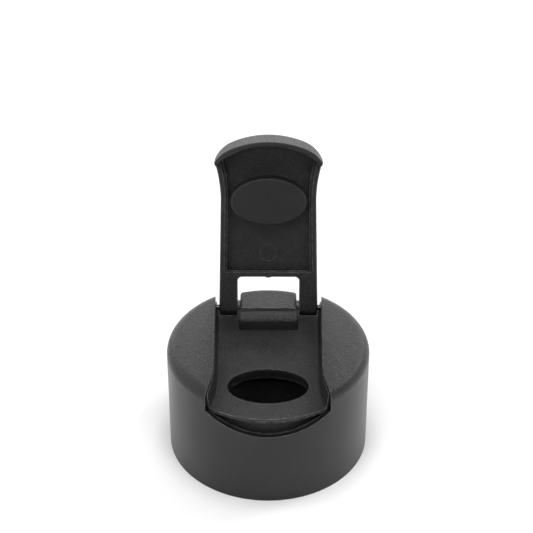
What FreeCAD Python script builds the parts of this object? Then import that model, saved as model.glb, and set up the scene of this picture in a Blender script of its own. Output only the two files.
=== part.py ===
import FreeCAD, Part
import math
import os

import Sketcher

# Flip-top drinking cap for a wide-mouth bottle.  Millimetres, +Z up, the open
# rim stands on Z = 0, the cap's axis is Z and the drinking side faces -Y.
# The flip lid stands open; it turns about the hinge pin, which lies along X.

DIMENSIONS = {
    # how far joined features run into each other, and cuts run clear
    "overlap": 0.3,
    "run_out": 1.0,
    # outer shell
    "cap_radius": 33.0,
    "cap_height": 39.2,
    "shoulder_radius": 3.4,
    "shell_wall": 1.5,
    "shell_top": 1.6,
    "shell_fit": 0.1,
    "top_gap": 0.05,
    # channel through the top, from the drinking side to the back
    "channel_rear_setback": 14.9,
    "channel_neck_setback": 15.6,
    "channel_neck_y": 12.0,
    "channel_flare_radius": 46.8,
    "channel_draft": 1.15,
    "floor_depth": 6.1,
    "floor_fall_angle": 1.0,
    # smile-shaped cut in the front of the shell
    "smile_side": 2.3,
    "smile_depth": 12.5,
    "smile_rise": 5.2,
    # spout insert
    "floor_plate": 2.0,
    "lip_side": 1.0,
    "lip_overhang": 1.0,
    "lip_radius": 34.6,
    "gutter_width": 0.8,
    "rim_thickness": 0.8,
    "rim_drop": 0.2,
    "gutter_depth": 1.4,
    "front_sector_angle": 94.0,
    "front_sector_drop": 4.0,
    "bar_half_angle": 18.6,
    "bar_proud": 0.6,
    "bar_height": 0.8,
    "bar_depth": 8.6,
    "rib_thickness": 1.5,
    "hollow_flare": 1.6,
    "skirt_wall": 1.8,
    "neck_entry_step": 0.6,
    "neck_entry_height": 4.8,
    "flange_height": 2.0,
    "thread_height": 1.3,
    "thread_foot": 3.2,
    "thread_crest": 1.2,
    "thread_pitch": 5.0,
    "thread_turns": 1.6,
    "thread_start": 8.0,
    # drinking hole and the plug that closes it
    "hole_side": 4.5,
    "hole_half_y": 8.3,
    "hole_setback": 16.4,
    "hole_edge_round": 0.5,
    "collar_wall": 1.1,
    "collar_drop": 2.1,
    "plug_clearance": 0.3,
    "plug_round": 0.8,
    "plug_face_depth": 4.8,
    "plug_seat_inset": 1.2,
    "plug_seat_depth": 0.5,
    # hinge
    "pin_radius": 0.9,
    "pin_hold": 1.5,
    "pin_inset": 8.4,
    "pin_depth": 3.0,
    "pin_clearance": 0.06,
    "pin_end_gap": 0.1,
    "boss_half_y": 2.1,
    "boss_side": 0.6,
    "boss_cap": 1.6,
    "boss_rear_gap": 0.5,
    "knuckle_radius": 2.7,
    "block_half": 9.95,
    "block_front_reach": 8.6,
    "block_back_reach": 1.5,
    "block_front_top": 0.8,
    "block_front_round": 2.4,
    "block_side_round": 0.9,
    "cover_half": 9.5,
    "cover_front_reach": 4.1,
    "cover_top": 0.3,
    "cover_rear_gap": 0.3,
    "cover_rear_round": 2.8,
    "cover_side_round": 0.9,
    # flip lid; a reach is measured from the pin
    "lid_side_gap": 1.55,
    "lid_neck_run": 2.5,
    "lid_flare_radius": 43.0,
    "lid_corner_setback": 5.5,
    "lid_foot_overhang": 2.1,
    "lid_tip_overhang": 2.9,
    "lid_foot_flatter": 2.2,
    "lid_tip_flatter": 8.8,
    "lid_blend_inset": 3.85,
    "lid_corner_lean": 1.1,
    "lid_rim": 1.6,
    "lid_step": 0.75,
    "lid_step_depth": 1.0,
    "lid_skin": 2.0,
    "lid_skirt": 1.35,
    "lid_skirt_corner": 1.6,
    "lid_skirt_clearance": 0.4,
    "lid_edge_round": 0.8,
    "lid_foot_round": 0.35,
    "lid_skirt_start": 4.2,
    "lid_hollow_start": 6.2,
    "window_half": 10.4,
    "window_reach": 11.4,
    "window_corner": 1.6,
    "crossbar": 1.5,
    "gate_half": 1.2,
    "gate_proud": 0.25,
    "gate_taper": 0.6,
    "ejector_radius": 2.8,
    "ejector_reach": 19.0,
    "ejector_depth": 0.12,
    "lid_opening_angle": 110.0,
    # neck gasket
    "gasket_width": 3.3,
    "gasket_thickness": 2.0,
    "gasket_gap": 0.1,
    "gasket_bead": 0.5,
}


class Size:
    """A length with the spreadsheet expression that drives it."""

    def __init__(self, value, text):
        self.value = value
        self.text = text

    def __add__(self, other):
        other = as_size(other)
        return Size(self.value + other.value, f"({self.text} + {other.text})")

    def __sub__(self, other):
        other = as_size(other)
        return Size(self.value - other.value, f"({self.text} - {other.text})")

    def __mul__(self, other):
        other = as_size(other)
        return Size(self.value * other.value, f"({self.text} * {other.text})")

    def __truediv__(self, other):
        other = as_size(other)
        return Size(self.value / other.value, f"({self.text} / {other.text})")

    def __neg__(self):
        return Size(-self.value, f"(0 - {self.text})")

    def __radd__(self, other):
        return as_size(other) + self

    def __rsub__(self, other):
        return as_size(other) - self

    def __rmul__(self, other):
        return as_size(other) * self


def as_size(number):
    if isinstance(number, Size):
        return number
    return Size(float(number), repr(float(number)))


def root(size):
    return Size(math.sqrt(size.value), f"sqrt({size.text})")


def chord_y(radius, half_width):
    """Distance of a chord's ends from the circle's centre line."""
    return root(radius * radius - half_width * half_width)


doc = FreeCAD.newDocument("flip_top_cap")
sheet = doc.addObject("Spreadsheet::Sheet", "Sheet")
for row, (word, number) in enumerate(DIMENSIONS.items(), start=1):
    sheet.set(f"A{row}", word)
    sheet.set(f"B{row}", str(number))
    sheet.setAlias(f"B{row}", word)
doc.recompute()


def dim(word):
    return Size(DIMENSIONS[word], f"Sheet.{word}")


OVERLAP = dim("overlap")
RUN_OUT = dim("run_out")

# Sizes that follow from the ones above.
CAP_RADIUS = dim("cap_radius")
INSERT_RADIUS = CAP_RADIUS - dim("shell_wall") - dim("shell_fit")
FACE_RADIUS = INSERT_RADIUS - dim("rim_thickness") - dim("gutter_width")
NECK_RADIUS = FACE_RADIUS - dim("skirt_wall")
FLOOR_TOP = dim("cap_height") - dim("floor_depth")
FLOOR_UNDER = FLOOR_TOP - dim("floor_plate")
CHANNEL_REAR_HALF = CAP_RADIUS - dim("channel_rear_setback")
CHANNEL_NECK_HALF = CAP_RADIUS - dim("channel_neck_setback")
SMILE_HALF = CHANNEL_NECK_HALF + dim("smile_side")
LIP_HALF = CHANNEL_NECK_HALF + dim("lip_side")
LIP_REACH = FACE_RADIUS + dim("lip_overhang")
HOLE_HALF_X = CHANNEL_NECK_HALF - dim("hole_side")
HOLE_Y = LIP_REACH - dim("hole_setback")
PIN_Y = INSERT_RADIUS - dim("pin_inset")
PIN_Z = dim("cap_height") - dim("pin_depth")
PIN_HALF_LENGTH = CHANNEL_REAR_HALF + dim("pin_hold")
LID_ARM_HALF = CHANNEL_REAR_HALF - dim("lid_side_gap")
LID_NECK_HALF = CHANNEL_NECK_HALF - dim("lid_side_gap")
LID_NECK_REACH = PIN_Y + dim("channel_neck_y") + dim("lid_neck_run")
LID_CORNER_REACH = PIN_Y + CAP_RADIUS - dim("lid_corner_setback")
LID_FOOT_REACH = PIN_Y + CAP_RADIUS + dim("lid_foot_overhang")
LID_TIP_REACH = PIN_Y + CAP_RADIUS + dim("lid_tip_overhang")
LID_BLEND_HALF = LID_NECK_HALF - dim("lid_blend_inset")


# ---------------------------------------------------------------- sketches


def origin_plane(body, role):
    return next(f for f in body.Origin.OriginFeatures if f.Role == role)


def new_body(label):
    body = doc.addObject("PartDesign::Body", label)
    body.Label = label
    doc.recompute()
    return body


def new_sketch(body, name, role, offset=0.0, tilt=None):
    """A sketch on one of the body's origin planes, moved along its normal."""
    sketch = body.newObject("Sketcher::SketchObject", name)
    sketch.AttachmentSupport = [(origin_plane(body, role), "")]
    sketch.MapMode = "FlatFace"
    offset = as_size(offset)
    sketch.AttachmentOffset = FreeCAD.Placement(
        FreeCAD.Vector(0, 0, offset.value), FreeCAD.Rotation()
    )
    sketch.setExpression("AttachmentOffset.Base.z", offset.text)
    if tilt is not None:
        sketch.AttachmentOffset = FreeCAD.Placement(
            FreeCAD.Vector(0, 0, offset.value),
            FreeCAD.Rotation(FreeCAD.Vector(1, 0, 0), tilt.value),
        )
        sketch.setExpression("AttachmentOffset.Rotation.Angle", tilt.text)
    return sketch


def as_vector(point):
    return FreeCAD.Vector(as_size(point[0]).value, as_size(point[1]).value, 0)


def bind(sketch, kind, size, *places):
    """One dimension of a sketch, driven by the spreadsheet."""
    number = sketch.addConstraint(Sketcher.Constraint(kind, *places, size.value))
    sketch.setExpression(f"Constraints[{number}]", size.text)


def pin_point(sketch, geometry, place, x, y):
    """Fix one point of a sketch at x, y from its origin."""
    x, y = as_size(x), as_size(y)
    if abs(x.value) < 1e-9:
        sketch.addConstraint(Sketcher.Constraint("PointOnObject", geometry, place, -2))
    else:
        bind(sketch, "DistanceX", x, -1, 1, geometry, place)
    if abs(y.value) < 1e-9:
        sketch.addConstraint(Sketcher.Constraint("PointOnObject", geometry, place, -1))
    else:
        bind(sketch, "DistanceY", y, -1, 1, geometry, place)


def arc_between(start, end, radius, left):
    """The shorter arc from start to end; left says on which side its centre is."""
    chord = end - start
    middle = (start + end) * 0.5
    normal = FreeCAD.Vector(-chord.y, chord.x, 0).normalize()
    height = math.sqrt(max(radius * radius - (chord.Length / 2) ** 2, 0.0))
    centre = middle + normal * (height if left else -height)
    first = math.atan2(start.y - centre.y, start.x - centre.x)
    last = math.atan2(end.y - centre.y, end.x - centre.x)
    circle = Part.Circle(centre, FreeCAD.Vector(0, 0, 1), radius)
    if left:
        return Part.ArcOfCircle(circle, first, last if last > first else last + 2 * math.pi)
    return Part.ArcOfCircle(circle, last, first if first > last else first + 2 * math.pi)


def draw(sketch, start, *steps):
    """A closed outline.  Each step is (x, y) for a line to that point, or
    (x, y, radius, side) for an arc whose centre lies on that side of travel."""
    numbers = [as_vector(start)] + [as_vector(step) for step in steps]
    if numbers[-1].distanceToPoint(numbers[0]) > 1e-6:
        steps = steps + (start,)
        numbers.append(numbers[0])
    points = [start] + [step[:2] for step in steps]
    entries = []
    for here, there, step in zip(numbers, numbers[1:], steps):
        if len(step) == 2:
            geometry = sketch.addGeometry(Part.LineSegment(here, there))
            entries.append((geometry, 1, 2))
        else:
            left = step[3] == "left"
            radius = as_size(step[2])
            geometry = sketch.addGeometry(arc_between(here, there, radius.value, left))
            bind(sketch, "Radius", radius, geometry)
            entries.append((geometry, 1, 2) if left else (geometry, 2, 1))
    for (one, _, end), (two, begin, _) in zip(entries, entries[1:] + entries[:1]):
        sketch.addConstraint(Sketcher.Constraint("Coincident", one, end, two, begin))
    for (geometry, begin, _), point in zip(entries, points):
        pin_point(sketch, geometry, begin, *point)


def draw_circle(sketch, x, y, radius):
    x, y, radius = as_size(x), as_size(y), as_size(radius)
    centre = FreeCAD.Vector(x.value, y.value, 0)
    circle = Part.Circle(centre, FreeCAD.Vector(0, 0, 1), radius.value)
    geometry = sketch.addGeometry(circle)
    pin_point(sketch, geometry, 3, x, y)
    bind(sketch, "Radius", radius, geometry)


def draw_ellipse(sketch, y, half_x, half_y):
    """An ellipse on the sketch's Y axis, its long axis across."""
    y, half_x, half_y = as_size(y), as_size(half_x), as_size(half_y)
    centre = FreeCAD.Vector(0, y.value, 0)
    right = FreeCAD.Vector(half_x.value, y.value, 0)
    left = FreeCAD.Vector(-half_x.value, y.value, 0)
    top = FreeCAD.Vector(0, y.value + half_y.value, 0)
    low = FreeCAD.Vector(0, y.value - half_y.value, 0)
    ellipse = sketch.addGeometry(Part.Ellipse(right, top, centre))
    major = sketch.addGeometry(Part.LineSegment(left, right), True)
    minor = sketch.addGeometry(Part.LineSegment(low, top), True)
    for kind, line in (("Major", major), ("Minor", minor)):
        name = f"InternalAlignment:Ellipse{kind}Diameter"
        sketch.addConstraint(Sketcher.Constraint(name, line, ellipse))
    pin_point(sketch, major, 1, -half_x, y)
    pin_point(sketch, major, 2, half_x, y)
    bind(sketch, "DistanceY", half_y * 2, minor, 1, minor, 2)


# ---------------------------------------------------------------- features


def volume(body):
    return body.Shape.Volume if not body.Shape.isNull() else 0.0


def feature(body, kind, name, adds, **settings):
    """Add a feature and check that the body's volume went the right way."""
    before = volume(body)
    item = body.newObject(f"PartDesign::{kind}", name)
    sizes = {}
    for key, setting in settings.items():
        if isinstance(setting, Size):
            setattr(item, key, setting.value)
            sizes[key] = setting.text
        else:
            setattr(item, key, setting)
    for key, text in sizes.items():
        item.setExpression(key, text)
    doc.recompute()
    change = volume(body) - before
    if "Invalid" in item.State or (change <= 1e-6 if adds else change >= -1e-6):
        raise ValueError(f"{body.Label}.{name} changed the volume by {change:.4f}")
    return item


def pad(body, sketch, length, **settings):
    name = sketch.Name.replace("_sketch", "_pad")
    return feature(body, "Pad", name, True, Profile=sketch, Length=as_size(length), **settings)


def pocket(body, sketch, length, **settings):
    name = sketch.Name.replace("_sketch", "_pocket")
    return feature(body, "Pocket", name, False, Profile=sketch, Length=as_size(length), **settings)


def revolve(body, sketch, angle=360.0, **settings):
    name = sketch.Name.replace("_sketch", "_revolution")
    return feature(
        body, "Revolution", name, True, Profile=sketch,
        ReferenceAxis=(sketch, ["V_Axis"]), Angle=as_size(angle), **settings,
    )


def edges_where(body, test):
    """Names of the edges of the body's last feature that pass the test."""
    names = []
    for number, edge in enumerate(body.Tip.Shape.Edges, start=1):
        if test(edge):
            names.append(f"Edge{number}")
    return names


def round_edges(body, name, radius, test):
    names = edges_where(body, test)
    if not names:
        raise ValueError(f"{body.Label}.{name} found no edge")
    before = body.Tip
    item = body.newObject("PartDesign::Fillet", name)
    item.Base = (before, names)
    item.Radius = radius.value
    item.setExpression("Radius", radius.text)
    doc.recompute()
    if "Invalid" in item.State or not item.Shape.isValid():
        raise ValueError(f"{body.Label}.{name} could not round {len(names)} edges")
    return item


# ---------------------------------------------------------- shared outlines


def channel_outline(sketch, inset):
    """The channel in plan: straight flanks that flare out at the front."""
    rear_y = CAP_RADIUS + RUN_OUT
    rear = CHANNEL_REAR_HALF - inset
    neck = CHANNEL_NECK_HALF - inset
    neck_y = -dim("channel_neck_y")
    reach = CAP_RADIUS + RUN_OUT - dim("channel_neck_y")
    mouth = neck + dim("channel_flare_radius") - chord_y(dim("channel_flare_radius"), reach)
    mouth_y = neck_y - reach
    flare = dim("channel_flare_radius")
    draw(
        sketch,
        (rear, rear_y),
        (-rear, rear_y),
        (-neck, neck_y),
        (-mouth, mouth_y, flare, "right"),
        (mouth, mouth_y),
        (neck, neck_y, flare, "right"),
    )


def smile_outline(sketch, drop, top):
    """The smile in front view, lowered by drop and closed at height top."""
    half = SMILE_HALF
    low = dim("cap_height") - dim("smile_depth") - drop
    rise = dim("smile_rise")
    radius = (half * half + rise * rise) / (rise * 2)
    draw(
        sketch,
        (half, top),
        (-half, top),
        (-half, low + rise),
        (half, low + rise, radius, "left"),
    )


def lid_half_at(reach):
    """Half the lid's width at a reach beyond its neck, where it flares."""
    flare = dim("lid_flare_radius")
    return LID_NECK_HALF + flare - chord_y(flare, reach - LID_NECK_REACH)


def lid_half_at_start(reach, inset):
    """Half the lid's width between the pin and its neck, less the inset."""
    slope = (LID_ARM_HALF - LID_NECK_HALF) / LID_NECK_REACH
    return LID_ARM_HALF - slope * reach - inset


def lid_tip_radius(reach, flatter):
    """Radius of the arc over both corners out to a reach, plus a length that
    makes it flatter."""
    corner = lid_half_at(LID_CORNER_REACH)
    drop = reach - LID_CORNER_REACH
    return (corner * corner + drop * drop) / (drop * 2) + flatter


def skirt_inside():
    """Radius of the arc along the inside of the skirt, and its centre's reach."""
    corner = lid_half_at(LID_CORNER_REACH)
    tip = LID_FOOT_REACH - dim("lid_skirt")
    drop = tip - LID_CORNER_REACH + dim("lid_skirt_corner")
    radius = (corner * corner + drop * drop) / (drop * 2)
    return radius, tip - radius


def tray_outline(sketch, start_reach, inset):
    """The lid in plan from start_reach to the inside of its skirt."""
    start_half = lid_half_at_start(start_reach, inset)
    neck = LID_NECK_HALF - inset
    neck_y = -LID_NECK_REACH
    tip, centre = skirt_inside()
    flare = dim("lid_flare_radius")
    corner = lid_half_at(LID_CORNER_REACH) - inset * dim("lid_corner_lean")
    corner_y = -(centre + chord_y(tip, corner))
    draw(
        sketch,
        (start_half, -start_reach),
        (-start_half, -start_reach),
        (-neck, neck_y),
        (-corner, corner_y, flare, "right"),
        (corner, corner_y, tip, "left"),
        (neck, neck_y, flare, "right"),
    )


def beyond_tip_outline(sketch, reach, radius):
    """Everything beyond the lid's tip in plan.  The tip is an arc out to the
    given reach, carried on without a kink by tighter arcs to the corners."""
    corner = lid_half_at(LID_CORNER_REACH)
    blend = LID_BLEND_HALF
    rise = chord_y(radius, blend)
    across = corner - blend
    back = reach - radius + rise - LID_CORNER_REACH
    inward = (back * rise - across * blend) / radius
    tight = (across * across + back * back) / (inward * 2)
    wide = corner * 2
    far = -(LID_TIP_REACH + RUN_OUT * 2)
    draw(
        sketch,
        (-wide, -LID_CORNER_REACH),
        (-corner, -LID_CORNER_REACH),
        (-blend, radius - reach - rise, tight, "left"),
        (blend, radius - reach - rise, radius, "left"),
        (corner, -LID_CORNER_REACH, tight, "left"),
        (wide, -LID_CORNER_REACH),
        (wide, far),
        (-wide, far),
    )


# -------------------------------------------------------------- outer shell


def make_outer_shell():
    """Plain cup with a rounded shoulder, cut through by the channel."""
    body = new_body("outer_shell")
    radius = CAP_RADIUS
    height = dim("cap_height")
    shoulder = dim("shoulder_radius")
    inner = radius - dim("shell_wall")
    ceiling = height - dim("shell_top")
    inner_round = shoulder - dim("shell_wall")
    profile = new_sketch(body, "cup_sketch", "XZ_Plane")
    draw(
        profile,
        (inner, 0),
        (radius, 0),
        (radius, height - shoulder),
        (radius - shoulder, height, shoulder, "left"),
        (0, height),
        (0, ceiling),
        (inner - inner_round, ceiling),
        (inner, ceiling - inner_round, inner_round, "right"),
    )
    revolve(body, profile)

    floor = FLOOR_TOP
    channel = new_sketch(body, "channel_sketch", "XY_Plane", floor)
    channel_outline(channel, as_size(0))
    pocket(body, channel, dim("floor_depth") + RUN_OUT, Reversed=True)

    smile = new_sketch(body, "smile_sketch", "XZ_Plane")
    smile_outline(smile, as_size(0), floor + OVERLAP)
    pocket(body, smile, radius + RUN_OUT, Reversed=True)
    return body


# ------------------------------------------------------------- spout insert


def make_spout_insert():
    """One moulding: threaded skirt, recess floor with the drinking hole,
    channel walls, gutter and rim behind the smile, and the hinge block."""
    body = new_body("spout_insert")
    height = dim("cap_height")
    floor = FLOOR_TOP
    plate_under = FLOOR_UNDER
    outer = INSERT_RADIUS
    face = FACE_RADIUS
    rim_inner = outer - dim("rim_thickness")
    sector_low = height - dim("smile_depth") - dim("front_sector_drop")
    sector_angle = dim("front_sector_angle")

    # gutter step and rim behind the smile
    step = new_sketch(body, "gutter_sketch", "YZ_Plane")
    draw(
        step,
        (-(face - OVERLAP), sector_low),
        (-(rim_inner + OVERLAP), sector_low),
        (-(rim_inner + OVERLAP), plate_under + OVERLAP),
        (-(face - OVERLAP), plate_under + OVERLAP),
    )
    revolve(body, step, sector_angle, Midplane=True)
    cut = new_sketch(body, "gutter_cut_sketch", "XZ_Plane")
    smile_outline(cut, dim("rim_drop") + dim("gutter_depth"), floor + RUN_OUT)
    pocket(body, cut, outer + RUN_OUT, Reversed=True)
    rim = new_sketch(body, "rim_sketch", "YZ_Plane")
    draw(
        rim,
        (-rim_inner, sector_low),
        (-outer, sector_low),
        (-outer, plate_under + OVERLAP),
        (-rim_inner, plate_under + OVERLAP),
    )
    revolve(body, rim, sector_angle, Midplane=True)
    rim_cut = new_sketch(body, "rim_cut_sketch", "XZ_Plane")
    smile_outline(rim_cut, dim("rim_drop"), floor + RUN_OUT)
    pocket(body, rim_cut, outer + RUN_OUT, Reversed=True)

    # skirt, bottom flange and top drum
    neck = NECK_RADIUS
    entry = neck + dim("neck_entry_step")
    entry_top = dim("neck_entry_height")
    flange_top = dim("flange_height")
    drum_top = height - dim("shell_top") - dim("top_gap")
    drum_round = dim("shoulder_radius") - dim("shell_wall")
    skirt = new_sketch(body, "skirt_sketch", "XZ_Plane")
    draw(
        skirt,
        (entry, 0),
        (outer, 0),
        (outer, flange_top),
        (face, flange_top),
        (face, plate_under),
        (outer, plate_under),
        (outer, drum_top - drum_round),
        (outer - drum_round, drum_top, drum_round, "left"),
        (0, drum_top),
        (0, plate_under),
        (neck, plate_under),
        (neck, entry_top + entry - neck),
        (entry, entry_top),
    )
    revolve(body, skirt)

    # channel void: sloping floor, flanks that lean outwards
    fall = dim("floor_fall_angle")
    drop_at_axis = PIN_Y * Size(math.tan(math.radians(fall.value)), f"tan({fall.text} * 1deg)")
    low = new_sketch(body, "floor_sketch", "XY_Plane", floor - drop_at_axis, fall)
    channel_outline(low, dim("channel_draft"))
    high = new_sketch(body, "channel_top_sketch", "XY_Plane", drum_top)
    channel_outline(high, dim("shell_fit"))
    feature(body, "SubtractiveLoft", "channel_loft", False, Profile=low, Sections=[high], Ruled=True)

    # front edge of the floor
    lip = new_sketch(body, "lip_sketch", "XY_Plane", plate_under)
    centre_y = dim("lip_radius") - LIP_REACH
    lip_y = centre_y - chord_y(dim("lip_radius"), LIP_HALF)
    draw(
        lip,
        (LIP_HALF, lip_y),
        (LIP_HALF, -(outer + RUN_OUT)),
        (-LIP_HALF, -(outer + RUN_OUT)),
        (-LIP_HALF, lip_y),
        (LIP_HALF, lip_y, dim("lip_radius"), "left"),
    )
    pocket(body, lip, dim("floor_depth"), Reversed=True)

    # hollows beside the channel, under the shell's top
    for side, sign in (("left", -1), ("right", 1)):
        hollow = new_sketch(body, f"{side}_hollow_sketch", "XY_Plane", floor)
        wall = CHANNEL_REAR_HALF + dim("rib_thickness")
        mouth = wall + dim("hollow_flare")
        ring = outer - dim("rib_thickness")
        rear_y = chord_y(ring, wall)
        front_y = -chord_y(ring, mouth)
        corners = ((wall * sign, rear_y), (wall * sign, -dim("channel_neck_y")), (mouth * sign, front_y))
        turn = "left" if sign > 0 else "right"
        draw(hollow, corners[0], corners[1], corners[2], (*corners[0], ring, turn))
        pocket(body, hollow, dim("floor_depth"), Reversed=True)

    # bosses that hold the ends of the pin
    boss = new_sketch(body, "boss_sketch", "XY_Plane", floor - OVERLAP)
    pin_y = PIN_Y
    boss_front = pin_y - dim("boss_half_y")
    boss_inner = CHANNEL_REAR_HALF + dim("boss_side")
    boss_outer = PIN_HALF_LENGTH + dim("boss_cap")
    boss_rear = chord_y(outer - dim("boss_rear_gap"), boss_outer)
    for sign in (-1, 1):
        near = boss_inner * sign
        far = boss_outer * sign
        draw(boss, (near, boss_front), (far, boss_front), (far, boss_rear), (near, boss_rear))
    pad(body, boss, drum_top - floor + OVERLAP)

    # hinge block: front step with a rounded brow, then the taller cover
    front = new_sketch(body, "block_sketch", "YZ_Plane")
    brow = dim("block_front_round")
    front_y = pin_y - dim("block_front_reach")
    back_y = pin_y - dim("block_back_reach")
    step_top = height - dim("block_front_top")
    draw(
        front,
        (front_y, floor - RUN_OUT),
        (back_y, floor - RUN_OUT),
        (back_y, step_top),
        (front_y + brow, step_top),
        (front_y, step_top - brow, brow, "left"),
    )
    pad(body, front, dim("block_half") * 2, SideType="Symmetric")
    half = dim("block_half").value
    round_edges(
        body, "block_round", dim("block_side_round"),
        lambda e: abs(abs(e.CenterOfMass.x) - half) < 1e-3
        and e.CenterOfMass.y < back_y.value - 0.01
        and e.BoundBox.ZMax > floor.value + 0.5,
    )

    cover = new_sketch(body, "cover_sketch", "XY_Plane", floor - RUN_OUT)
    cover_half = dim("cover_half")
    rear = outer - dim("cover_rear_gap")
    cover_front_y = pin_y - dim("cover_front_reach")
    draw(
        cover,
        (cover_half, cover_front_y),
        (cover_half, chord_y(rear, cover_half)),
        (-cover_half, chord_y(rear, cover_half), rear, "left"),
        (-cover_half, cover_front_y),
    )
    pad(body, cover, dim("floor_depth") + RUN_OUT - dim("cover_top"))
    cover_z = (height - dim("cover_top")).value
    round_edges(
        body, "cover_rear_round", dim("cover_rear_round"),
        lambda e: abs(e.BoundBox.ZMin - cover_z) < 1e-3 and e.CenterOfMass.y > rear.value - 3,
    )
    round_edges(
        body, "cover_side_round", dim("cover_side_round"),
        lambda e: abs(abs(e.CenterOfMass.x) - cover_half.value) < 1e-3
        and abs(e.BoundBox.ZMax - cover_z) < 1e-3
        and e.BoundBox.YLength > 2,
    )

    # bore for the pin through the block and into both bosses
    bore = new_sketch(body, "pin_bore_sketch", "YZ_Plane")
    draw_circle(bore, pin_y, PIN_Z, dim("pin_radius"))
    bore_half = PIN_HALF_LENGTH + dim("pin_end_gap")
    pocket(body, bore, bore_half * 2, SideType="Symmetric")

    # collar under the floor, then the drinking hole
    collar = new_sketch(body, "collar_sketch", "XY_Plane", plate_under + OVERLAP)
    wall = dim("collar_wall")
    draw_ellipse(collar, -HOLE_Y, HOLE_HALF_X + wall, dim("hole_half_y") + wall)
    pad(body, collar, dim("collar_drop") + OVERLAP, Reversed=True)
    collar_foot = plate_under - dim("collar_drop")
    hole = new_sketch(body, "hole_sketch", "XY_Plane", collar_foot - RUN_OUT)
    draw_ellipse(hole, -HOLE_Y, HOLE_HALF_X, dim("hole_half_y"))
    pocket(body, hole, height - collar_foot + RUN_OUT, Reversed=True)
    hole_y = HOLE_Y.value
    round_edges(
        body, "hole_round", dim("hole_edge_round"),
        lambda e: e.BoundBox.ZMin > plate_under.value + 0.5
        and abs(e.BoundBox.YMin + hole_y + dim("hole_half_y").value) < 0.1
        and e.BoundBox.XLength > 2 * HOLE_HALF_X.value - 0.1,
    )

    # catch bar on the front face, under the lip
    bar = new_sketch(body, "catch_bar_sketch", "YZ_Plane")
    bar_top = height - dim("bar_depth")
    draw(
        bar,
        (-(face - OVERLAP), bar_top - dim("bar_height")),
        (-(face + dim("bar_proud") * 0.5), bar_top - dim("bar_height")),
        (-(face + dim("bar_proud")), bar_top - dim("bar_height") * 0.5),
        (-(face + dim("bar_proud")), bar_top),
        (-(face - OVERLAP), bar_top),
    )
    revolve(body, bar, dim("bar_half_angle") * 2, Midplane=True)

    # bottle thread
    thread = new_sketch(body, "thread_sketch", "XZ_Plane")
    start = dim("thread_start")
    tooth = dim("thread_height")
    base = dim("thread_foot") * 0.5
    crest = dim("thread_crest") * 0.5
    draw(
        thread,
        (neck + OVERLAP, start - base),
        (neck + OVERLAP, start + base),
        (neck - tooth, start + crest),
        (neck - tooth, start - crest),
    )
    feature(
        body, "AdditiveHelix", "thread_helix", True, Profile=thread,
        ReferenceAxis=(thread, ["V_Axis"]), Mode=1,
        Pitch=dim("thread_pitch"), Turns=dim("thread_turns"),
    )
    return body


# ------------------------------------------------------------------- gasket


def make_neck_gasket():
    """Soft ring that the bottle's rim presses against the insert."""
    body = new_body("neck_gasket")
    top = FLOOR_UNDER
    low = top - dim("gasket_thickness")
    outer = NECK_RADIUS - dim("gasket_gap")
    inner = outer - dim("gasket_width")
    bead = dim("gasket_bead")
    profile = new_sketch(body, "ring_sketch", "XZ_Plane")
    draw(
        profile,
        (inner, low),
        (outer - bead, low),
        (outer, low + bead),
        (outer, top),
        (inner + bead, top),
        (inner, top - bead),
    )
    revolve(body, profile)
    return body


# ---------------------------------------------------------------- hinge pin


def make_hinge_pin():
    """Straight steel pin with rounded ends, along X."""
    body = new_body("hinge_pin")
    radius = dim("pin_radius")
    half = PIN_HALF_LENGTH
    ease = radius * 0.3
    profile = new_sketch(body, "pin_sketch", "XZ_Plane")
    draw(
        profile,
        (-half, 0),
        (half, 0),
        (half, radius - ease),
        (half - ease, radius),
        (-(half - ease), radius),
        (-half, radius - ease),
    )
    feature(
        body, "Revolution", "pin_revolution", True, Profile=profile,
        ReferenceAxis=(profile, ["H_Axis"]), Angle=as_size(360),
    )
    place(body, as_size(0))
    return body


# ----------------------------------------------------------------- flip lid


def place(body, angle):
    """Put a piece built about the pin's axis on that axis, turned open."""
    body.Placement = FreeCAD.Placement(
        FreeCAD.Vector(0, PIN_Y.value, PIN_Z.value),
        FreeCAD.Rotation(FreeCAD.Vector(1, 0, 0), -angle.value),
    )
    body.setExpression("Placement.Base.y", PIN_Y.text)
    body.setExpression("Placement.Base.z", PIN_Z.text)
    if angle.value:
        body.setExpression("Placement.Rotation.Angle", angle.text)
        body.setExpression("Placement.Rotation.Axis.x", "-1")
    doc.recompute()


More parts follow.
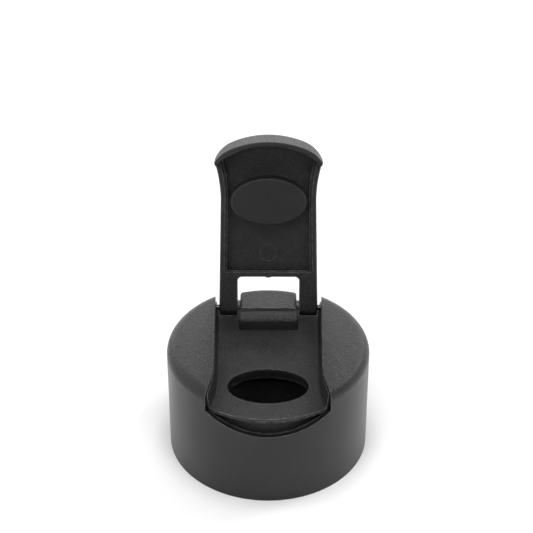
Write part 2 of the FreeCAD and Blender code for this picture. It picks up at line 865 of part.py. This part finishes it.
def make_flip_lid():
    """Tray-shaped lid on two arms, modelled shut about the pin's axis:
    -Y runs to the tip, +Z is the outside."""
    body = new_body("flip_lid")
    half_thick = dim("knuckle_radius")
    reach = LID_TIP_REACH + RUN_OUT
    widest = lid_half_at(reach) + RUN_OUT

    # slab whose rear end is rounded about the pin
    slab = new_sketch(body, "slab_sketch", "YZ_Plane")
    draw(
        slab,
        (-reach, -half_thick),
        (0, -half_thick),
        (half_thick, 0, half_thick, "left"),
        (0, half_thick, half_thick, "left"),
        (-reach, half_thick),
    )
    pad(body, slab, widest * 2, SideType="Symmetric")

    # front skirt, deep enough for the smile
    skirt_low = -(dim("smile_depth") - dim("pin_depth") - dim("lid_skirt_clearance"))
    skirt_start = dim("lid_skirt_start") - LID_CORNER_REACH
    skirt = new_sketch(body, "skirt_sketch", "YZ_Plane")
    draw(
        skirt,
        (-reach, skirt_low),
        (skirt_start, skirt_low),
        (skirt_start, OVERLAP - half_thick),
        (-reach, OVERLAP - half_thick),
    )
    pad(body, skirt, widest * 2, SideType="Symmetric")

    # flanks: straight arms that flare towards the tip
    plan = new_sketch(body, "plan_sketch", "XY_Plane", skirt_low - RUN_OUT)
    rear = half_thick + RUN_OUT
    rear_half = lid_half_at_start(-rear, as_size(0))
    neck = LID_NECK_HALF
    neck_y = -LID_NECK_REACH
    end = lid_half_at(reach + RUN_OUT)
    end_y = -(reach + RUN_OUT)
    flare = dim("lid_flare_radius")
    margin = widest + RUN_OUT
    for sign, turn in ((1, "left"), (-1, "right")):
        draw(
            plan,
            (rear_half * sign, rear),
            (neck * sign, neck_y),
            (end * sign, end_y, flare, turn),
            (margin * sign, end_y),
            (margin * sign, rear),
        )
    pocket(body, plan, half_thick - skirt_low + RUN_OUT * 2, Reversed=True)

    # bowed tip: fuller at the top than at the foot of the skirt
    foot = new_sketch(body, "tip_foot_sketch", "XY_Plane", skirt_low - RUN_OUT)
    foot_radius = lid_tip_radius(LID_FOOT_REACH, dim("lid_foot_flatter"))
    beyond_tip_outline(foot, LID_FOOT_REACH, foot_radius)
    brow = new_sketch(body, "tip_brow_sketch", "XY_Plane", half_thick + RUN_OUT)
    brow_radius = lid_tip_radius(LID_TIP_REACH, dim("lid_tip_flatter"))
    beyond_tip_outline(brow, LID_TIP_REACH, brow_radius)
    feature(body, "SubtractiveLoft", "tip_loft", False, Profile=foot, Sections=[brow], Ruled=True)

    # hollow behind the skirt and the smile-shaped lower edge
    behind = new_sketch(body, "skirt_hollow_sketch", "XY_Plane", skirt_low - RUN_OUT)
    inner, centre = skirt_inside()
    start = dim("lid_hollow_start") - LID_CORNER_REACH
    corner = lid_half_at(LID_CORNER_REACH)
    corner_y = -(centre + chord_y(inner, corner))
    draw(
        behind,
        (widest, start),
        (-widest, start),
        (-widest, corner_y),
        (-corner, corner_y),
        (corner, corner_y, inner, "left"),
        (widest, corner_y),
    )
    pocket(body, behind, RUN_OUT - half_thick - skirt_low, Reversed=True)
    edge = new_sketch(body, "skirt_edge_sketch", "XZ_Plane")
    half = SMILE_HALF
    rise = dim("smile_rise")
    arc = (half * half + rise * rise) / (rise * 2)
    draw(
        edge,
        (half, skirt_low - RUN_OUT),
        (half, skirt_low + rise),
        (-half, skirt_low + rise, arc, "right"),
        (-half, skirt_low - RUN_OUT),
    )
    pocket(body, edge, reach + RUN_OUT, Reversed=True)

    # tray in the underside, in two steps
    start = dim("window_reach") + dim("crossbar")
    ledge = new_sketch(body, "tray_ledge_sketch", "XY_Plane", -half_thick)
    tray_outline(ledge, start, dim("lid_rim"))
    pocket(body, ledge, dim("lid_step_depth"), Reversed=True)
    tray = new_sketch(body, "tray_sketch", "XY_Plane", -half_thick)
    inset = dim("lid_rim") + dim("lid_step")
    tray_outline(tray, start + dim("lid_step") * 0.5, inset)
    pocket(body, tray, half_thick * 2 - dim("lid_skin"), Reversed=True)

    # window between the arms
    window = new_sketch(body, "window_sketch", "XY_Plane", -rear)
    opening = dim("window_half")
    far = -dim("window_reach")
    corner = dim("window_corner")
    draw(
        window,
        (opening, rear),
        (-opening, rear),
        (-opening, far + corner),
        (-(opening - corner), far, corner, "left"),
        (opening - corner, far),
        (opening, far + corner, corner, "left"),
    )
    pocket(body, window, rear * 2, Reversed=True)
    gate = new_sketch(body, "gate_sketch", "XY_Plane", -half_thick)
    wide = dim("gate_half")
    narrow = wide * dim("gate_taper")
    proud = far + dim("gate_proud")
    draw(gate, (wide, far - OVERLAP), (narrow, proud), (-narrow, proud), (-wide, far - OVERLAP))
    pad(body, gate, dim("lid_skin"))

    # ejector mark and seat for the plug in the tray
    tray_z = half_thick - dim("lid_skin")
    mark = new_sketch(body, "ejector_mark_sketch", "XY_Plane", tray_z)
    draw_circle(mark, 0, -dim("ejector_reach"), dim("ejector_radius"))
    pocket(body, mark, dim("ejector_depth"), Reversed=True)
    seat = new_sketch(body, "plug_seat_sketch", "XY_Plane", tray_z)
    plug_x, plug_y = plug_halves()
    inset = dim("plug_seat_inset")
    plug_reach = -(PIN_Y + HOLE_Y)
    draw_ellipse(seat, plug_reach, plug_x - inset, plug_y - inset)
    pocket(body, seat, dim("plug_seat_depth"), Reversed=True)

    # bore for the pin through both arms
    bore = new_sketch(body, "pin_bore_sketch", "YZ_Plane")
    draw_circle(bore, 0, 0, dim("pin_radius") + dim("pin_clearance"))
    pocket(body, bore, widest * 2, SideType="Symmetric")

    # soft outside edges
    top_z = half_thick.value
    round_edges(
        body, "edge_round", dim("lid_edge_round"),
        lambda e: abs(e.BoundBox.ZMin - top_z) < 1e-3
        and abs(e.BoundBox.ZMax - top_z) < 1e-3
        and abs(e.CenterOfMass.y) > 1.0
        and (abs(e.CenterOfMass.x) > opening.value + 2 or e.CenterOfMass.y < -half_thick.value - 40),
    )
    foot_top = (skirt_low + rise).value
    round_edges(
        body, "foot_round", dim("lid_foot_round"),
        lambda e: e.BoundBox.ZMax < foot_top and e.BoundBox.XLength > 3,
    )
    place(body, dim("lid_opening_angle"))
    return body


def plug_halves():
    clearance = dim("plug_clearance")
    return HOLE_HALF_X - clearance, dim("hole_half_y") - clearance


def make_spout_plug():
    """Oval stopper on the lid's underside, keyed into the tray."""
    body = new_body("spout_plug")
    half_thick = dim("knuckle_radius")
    tray_z = half_thick - dim("lid_skin")
    plug_x, plug_y = plug_halves()
    reach = -(PIN_Y + HOLE_Y)
    face_z = -dim("plug_face_depth")
    block = new_sketch(body, "block_sketch", "XY_Plane", face_z)
    draw_ellipse(block, reach, plug_x, plug_y)
    pad(body, block, tray_z - face_z)
    key = new_sketch(body, "key_sketch", "XY_Plane", tray_z)
    inset = dim("plug_seat_inset")
    draw_ellipse(key, reach, plug_x - inset, plug_y - inset)
    pad(body, key, dim("plug_seat_depth"))
    round_edges(
        body, "face_round", dim("plug_round"),
        lambda e: abs(e.BoundBox.ZMax - face_z.value) < 1e-3,
    )
    place(body, dim("lid_opening_angle"))
    return body


# ------------------------------------------------------------------- output


def check(bodies):
    for item in doc.Objects:
        if "Invalid" in item.State or "Error" in item.State:
            raise ValueError(f"{item.Name} is {item.State}")
    for body in bodies:
        if body.Shape.isNull() or not body.Shape.isValid():
            raise ValueError(f"{body.Label} has no valid shape")
        if len(body.Shape.Solids) != 1:
            raise ValueError(f"{body.Label} is {len(body.Shape.Solids)} solids")


def main():
    bodies = [
        make_outer_shell(),
        make_spout_insert(),
        make_neck_gasket(),
        make_hinge_pin(),
        make_flip_lid(),
        make_spout_plug(),
    ]
    doc.recompute()
    check(bodies)
    os.makedirs("parts", exist_ok=True)
    for body in bodies:
        body.Shape.exportStep(f"parts/{body.Label}.step")
        box = body.Shape.BoundBox
        print(
            f"{body.Label:14s} volume {body.Shape.Volume:9.1f}"
            f"  X {box.XMin:.2f}..{box.XMax:.2f}"
            f"  Y {box.YMin:.2f}..{box.YMax:.2f}"
            f"  Z {box.ZMin:.2f}..{box.ZMax:.2f}"
        )


main()
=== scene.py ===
"""Looks of a flip top cap in a white studio.

Moulded black plastic cap, open lid with its oval stopper, and the pin they turn on.
Every length is in metres and every material is worked out in object space.
"""

import math

import bpy
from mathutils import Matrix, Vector

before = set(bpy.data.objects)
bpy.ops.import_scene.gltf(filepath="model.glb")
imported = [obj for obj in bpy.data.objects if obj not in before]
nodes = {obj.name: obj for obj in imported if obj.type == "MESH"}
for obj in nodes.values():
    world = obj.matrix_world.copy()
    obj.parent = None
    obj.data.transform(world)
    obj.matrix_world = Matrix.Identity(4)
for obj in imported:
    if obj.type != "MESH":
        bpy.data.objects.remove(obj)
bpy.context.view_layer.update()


def link(tree, source, target):
    tree.links.new(source, target)


def node(tree, kind, **values):
    """A new shader node with its input sockets set by name."""
    made = tree.nodes.new(kind)
    for name, value in values.items():
        made.inputs[name.replace("_", " ")].default_value = value
    return made


def calculate(tree, operation, *terms):
    """A Math node; each term is a number or an output."""
    made = tree.nodes.new("ShaderNodeMath")
    made.operation = operation
    for socket, term in zip(made.inputs, terms):
        if isinstance(term, float):
            socket.default_value = term
        else:
            link(tree, term, socket)
    return made.outputs["Value"]


def blend_colours(tree, factor, first, second):
    """first where factor is 0, second where it is 1; each is a colour, or an output."""
    made = tree.nodes.new("ShaderNodeMix")
    made.data_type = "RGBA"
    link(tree, factor, made.inputs["Factor"])
    for name, colour in (("A", first), ("B", second)):
        if isinstance(colour, tuple):
            made.inputs[name].default_value = (*colour, 1.0)
        else:
            link(tree, colour, made.inputs[name])
    return made.outputs["Result"]


def object_coords(tree):
    return tree.nodes.new("ShaderNodeTexCoord").outputs["Object"]


def split(tree, coords):
    """The X, Y and Z outputs of coords."""
    made = tree.nodes.new("ShaderNodeSeparateXYZ")
    link(tree, coords, made.inputs["Vector"])
    return made.outputs


def noise(tree, coords, scale, detail=2.0, roughness=0.5, stretch=None):
    """Noise in object space; stretch is a scale for each axis."""
    made = node(tree, "ShaderNodeTexNoise", Scale=scale, Detail=detail, Roughness=roughness)
    if stretch is not None:
        mapping = node(tree, "ShaderNodeMapping", Scale=stretch)
        link(tree, coords, mapping.inputs["Vector"])
        coords = mapping.outputs["Vector"]
    link(tree, coords, made.inputs["Vector"])
    return made.outputs["Fac"]


def remap(tree, value, low, high, to_low, to_high):
    """value from low..high to to_low..to_high, clamped."""
    made = node(tree, "ShaderNodeMapRange", From_Min=low, From_Max=high, To_Min=to_low, To_Max=to_high)
    link(tree, value, made.inputs["Value"])
    return made.outputs["Result"]


def convex_edges(tree, width):
    """1 on outer edges, 0 elsewhere: near such an edge, rays sent into the solid soon leave it again."""
    made = node(tree, "ShaderNodeAmbientOcclusion", Distance=width)
    made.samples = 12
    made.inside = True
    made.only_local = True
    return remap(tree, made.outputs["AO"], 0.93, 0.62, 0.0, 1.0)


def bump(tree, height, strength, distance, below):
    """Bump over the normal below."""
    made = node(tree, "ShaderNodeBump", Strength=strength, Distance=distance)
    link(tree, height, made.inputs["Height"])
    link(tree, below, made.inputs["Normal"])
    return made.outputs["Normal"]


def paint_recess_shade_and_lip_light(tree, coords, colour, depth, front, inside, painted_lip_light):
    """Painted light and shade by place: colour above depth along Z; below it the grey outside, a painted light
    on the lip's face, in front of front along Y, and the grey inside, a painted shade, behind it.
    """
    soft_depth, soft_front = 0.0006, 0.0005
    place = split(tree, coords)
    below = remap(tree, place["Z"], depth, depth - soft_depth, 0.0, 1.0)
    level = remap(tree, place["Y"], front - soft_front, front, painted_lip_light, inside)
    return blend_colours(tree, below, colour, level)


def new_material(name):
    """A material with its node tree and Principled shader."""
    made = bpy.data.materials.new(name)
    made.use_nodes = True
    return made, made.node_tree, made.node_tree.nodes["Principled BSDF"]


def plastic(name, colours, roughness, specular, grain, grain_size, edge, edge_highlight, painted_shade_and_light=None, smooth_below=None):
    """Moulded plastic: mottled between two colours, spark-eroded grain, edges rounded in shading and lightened
    with a painted highlight.

    grain is the depth of the grain and grain_size its width, edge the radius of the edges and worn the colour of
    the painted highlight on them.
    well gives the values of sunk, which paints shade inside the insert and light on the lip's face, and
    smooth_below the height under which the grain fades.
    """
    made, tree, shader = new_material(name)
    shader.inputs["Specular IOR Level"].default_value = specular
    coords = object_coords(tree)

    clouds = noise(tree, coords, 140.0, 3.0)
    fine = noise(tree, coords, 1.0 / grain_size, 2.0, 0.6)
    if smooth_below is not None:
        fade = 0.003
        keep = remap(tree, split(tree, coords)["Z"], smooth_below, smooth_below + fade, 0.15, 1.0)
        level = tree.nodes.new("ShaderNodeMix")
        level.inputs["A"].default_value = 0.5
        link(tree, keep, level.inputs["Factor"])
        link(tree, fine, level.inputs["B"])
        fine = level.outputs["Result"]
    cloudy = remap(tree, clouds, 0.35, 0.65, 0.0, 1.0)
    grainy = remap(tree, fine, 0.42, 0.68, 0.0, 0.8)
    colour = blend_colours(tree, calculate(tree, "MULTIPLY_ADD", cloudy, 0.2, grainy), *colours)
    # Painted shade inside the insert and a painted light on the lip's face, set by place.
    if painted_shade_and_light is not None:
        colour = paint_recess_shade_and_lip_light(tree, coords, colour, *painted_shade_and_light)

    # Convex edges take the lighter worn colour, a painted highlight broken up by noise.
    edges = convex_edges(tree, edge * 1.6)
    broken = remap(tree, noise(tree, coords, 700.0, 2.0), 0.40, 0.62, 0.25, 1.0)
    colour = blend_colours(tree, calculate(tree, "MULTIPLY", edges, broken), colour, edge_highlight)
    link(tree, colour, shader.inputs["Base Color"])

    uneven = remap(tree, fine, 0.35, 0.65, roughness + 0.10, roughness - 0.10)
    link(tree, calculate(tree, "MULTIPLY_ADD", edges, -0.12, uneven), shader.inputs["Roughness"])

    rounded = node(tree, "ShaderNodeBevel", Radius=edge)
    rounded.samples = 8
    normal = bump(tree, noise(tree, coords, 45.0, 1.0), 0.25, 0.0002, rounded.outputs["Normal"])
    link(tree, bump(tree, fine, 1.0, grain, normal), shader.inputs["Normal"])
    return made


def steel(name):
    """Blackened steel wire, with fine lines along its length."""
    made, tree, shader = new_material(name)
    shader.inputs["Metallic"].default_value = 1.0
    along_x = (0.03, 1.0, 1.0)
    lines = noise(tree, object_coords(tree), 2600.0, 3.0, 0.6, along_x)
    tint = blend_colours(tree, remap(tree, lines, 0.3, 0.7, 0.0, 1.0), (0.05, 0.05, 0.05), (0.10, 0.10, 0.10))
    link(tree, tint, shader.inputs["Base Color"])
    link(tree, remap(tree, lines, 0.3, 0.7, 0.24, 0.42), shader.inputs["Roughness"])
    flat = tree.nodes.new("ShaderNodeNewGeometry").outputs["Normal"]
    link(tree, bump(tree, lines, 0.3, 0.00001, flat), shader.inputs["Normal"])
    return made


def dress(name, material):
    """The CAD node takes this material in every slot."""
    mesh = nodes[name].data
    if not mesh.materials:
        mesh.materials.append(material)
    for i in range(len(mesh.materials)):
        mesh.materials[i] = material


def grey(level):
    return (level, level, level)


# Each worn colour below is a painted highlight on the convex edges.
dress("outer_shell", plastic(
    "shell_black", (grey(0.001), grey(0.010)), roughness=0.34, specular=0.44,
    grain=0.00020, grain_size=0.0005, edge=0.00030, edge_highlight=grey(0.06), smooth_below=0.033))
# The insert gets a near-black painted shade inside it, below its floor, and a lighter painted light on the lip's
# face in front.
dress("spout_insert", plastic(
    "insert_black", (grey(0.001), grey(0.026)), roughness=0.38, specular=0.49,
    grain=0.00042, grain_size=0.0005, edge=0.00025, edge_highlight=grey(0.15), painted_shade_and_light=(0.0322, -0.0255, 0.001, 0.022)))
dress("flip_lid", plastic(
    "lid_black", (grey(0.002), grey(0.018)), roughness=0.40, specular=0.36,
    grain=0.00036, grain_size=0.0005, edge=0.00025, edge_highlight=grey(0.11)))
dress("spout_plug", plastic(
    "stopper_silicone", (grey(0.008), grey(0.014)), roughness=0.56, specular=0.34,
    grain=0.00002, grain_size=0.0004, edge=0.00030, edge_highlight=grey(0.15)))
dress("neck_gasket", plastic(
    "gasket_silicone", ((0.40, 0.40, 0.38), (0.50, 0.50, 0.48)), roughness=0.55, specular=0.40,
    grain=0.00001, grain_size=0.0003, edge=0.00020, edge_highlight=(0.5, 0.5, 0.48)))
dress("hinge_pin", steel("pin_steel"))


def studio_card(name, place, aim, size, power):
    """A soft box: a rectangular area light at place, turned to aim."""
    lamp = bpy.data.lights.new(name, "AREA")
    lamp.shape = "RECTANGLE"
    lamp.size, lamp.size_y = size
    lamp.energy = power
    made = bpy.data.objects.new(name, lamp)
    made.location = place
    made.rotation_euler = (Vector(aim) - Vector(place)).to_track_quat("-Z", "Y").to_euler()
    made.visible_camera = False
    bpy.context.scene.collection.objects.link(made)


def white_paper():
    """White paper, lifted towards pure white where the camera, a gloss or a clear part sees it.

    The near lift begins about the object's radius, so the paper keeps the object's shadow. The far lift is for
    the wall behind and beside the object, and not in front, where it would light up the open lid.
    """
    near_start, near_end, near_lift = 0.032, 0.040, 0.20
    far_start, far_end, far_lift = 0.5, 2.2, 0.45
    front_start, front_end = -1.4, -0.2
    made, tree, shader = new_material("white_paper")
    shader.inputs["Base Color"].default_value = (*grey(0.86), 1.0)
    shader.inputs["Roughness"].default_value = 0.9
    shader.inputs["Specular IOR Level"].default_value = 0.1
    shader.inputs["Emission Color"].default_value = (*grey(1.0), 1.0)
    ray = tree.nodes.new("ShaderNodeLightPath").outputs
    seen = calculate(tree, "MAXIMUM", ray["Is Camera Ray"], ray["Is Glossy Ray"])
    seen = calculate(tree, "MAXIMUM", seen, ray["Is Transmission Ray"])
    coords = object_coords(tree)
    away = tree.nodes.new("ShaderNodeVectorMath")
    away.operation = "LENGTH"
    link(tree, coords, away.inputs[0])
    radius = away.outputs["Value"]
    near = remap(tree, radius, near_start, near_end, 0.0, near_lift)
    far = remap(tree, radius, far_start, far_end, 0.0, far_lift)
    behind = remap(tree, split(tree, coords)["Y"], front_start, front_end, 0.0, 1.0)
    lift = calculate(tree, "ADD", near, calculate(tree, "MULTIPLY", far, behind))
    link(tree, calculate(tree, "MULTIPLY", seen, lift), shader.inputs["Emission Strength"])
    return made


def paper_sweep():
    """White paper sweep: flat under the object, curving up to a wall all the way round it."""
    middle, flat, bend, height = 0.3, 1.6, 0.8, 3.0
    steps, sides = 12, 64
    profile = [(middle, 0.0), (flat, 0.0)]
    for i in range(1, steps + 1):
        a = math.radians(90.0 * i / steps)
        profile.append((flat + bend * math.sin(a), bend * (1.0 - math.cos(a))))
    profile.append((flat + bend, height))
    points, faces = [(0.0, 0.0, 0.0)], []
    for radius, z in profile:
        for i in range(sides):
            a = 2.0 * math.pi * i / sides
            points.append((radius * math.cos(a), radius * math.sin(a), z))
    for i in range(sides):
        after = (i + 1) % sides
        faces.append((0, 1 + i, 1 + after))
        for ring in range(len(profile) - 1):
            low, high = 1 + ring * sides, 1 + (ring + 1) * sides
            faces.append((low + i, high + i, high + after, low + after))
    mesh = bpy.data.meshes.new("paper_sweep")
    mesh.from_pydata(points, [], faces)
    for face in mesh.polygons:
        face.use_smooth = True
    mesh.materials.append(white_paper())
    made = bpy.data.objects.new("paper_sweep", mesh)
    bpy.context.scene.collection.objects.link(made)


paper_sweep()
middle_of_cap = (0.0, 0.0, 0.03)
for name, place, aim, size, power in (
    ("top_box", (0.0, 0.0, 1.3), (0.0, 0.0, 0.0), (1.6, 1.2), 5.9),
    ("front_top_box", (0.0, -0.45, 1.1), middle_of_cap, (0.8, 0.3), 6.0),
    ("back_low_box", (0.0, 0.60, 0.22), (0.0, 0.0, 0.04), (1.0, 0.16), 0.7),
    ("front_left_box", (-0.7, -0.7, 0.5), middle_of_cap, (0.4, 0.4), 1.6),
    ("front_right_box", (0.7, -0.7, 0.5), middle_of_cap, (0.4, 0.4), 0.7),
    ("right_key", (0.5, 0.25, 0.6), middle_of_cap, (0.15, 0.15), 1.3),
    ("floor_left", (-0.34, 0.02, 0.30), (-0.15, 0.0, 0.0), (0.2, 0.3), 0.2),
    ("backdrop_box", (0.0, 1.6, 0.9), (0.0, 0.8, 0.0), (3.0, 0.6), 9.0),
):
    studio_card(name, place, aim, size, power)

world = bpy.data.worlds.new("studio_air")
bpy.context.scene.world = world
world.use_nodes = True
world.node_tree.nodes["Background"].inputs["Color"].default_value = (*grey(0.9), 1.0)
world.node_tree.nodes["Background"].inputs["Strength"].default_value = 0.01

# The photograph's view: from in front, 34.5 degrees above the floor.
camera_tilt, camera_turn = 34.495, 0.217
lens = bpy.data.cameras.new("product_lens")
lens.sensor_width = 36.0
lens.lens = 102.03
lens.clip_start, lens.clip_end = 0.01, 20.0
camera = bpy.data.objects.new("product_camera", lens)
camera.location = (0.00094, -0.39098, 0.33744)
camera.rotation_euler = (math.radians(90.0 - camera_tilt), 0.0, math.radians(camera_turn))
bpy.context.scene.collection.objects.link(camera)
bpy.context.scene.camera = camera
bpy.context.scene.view_settings.view_transform = "Standard"
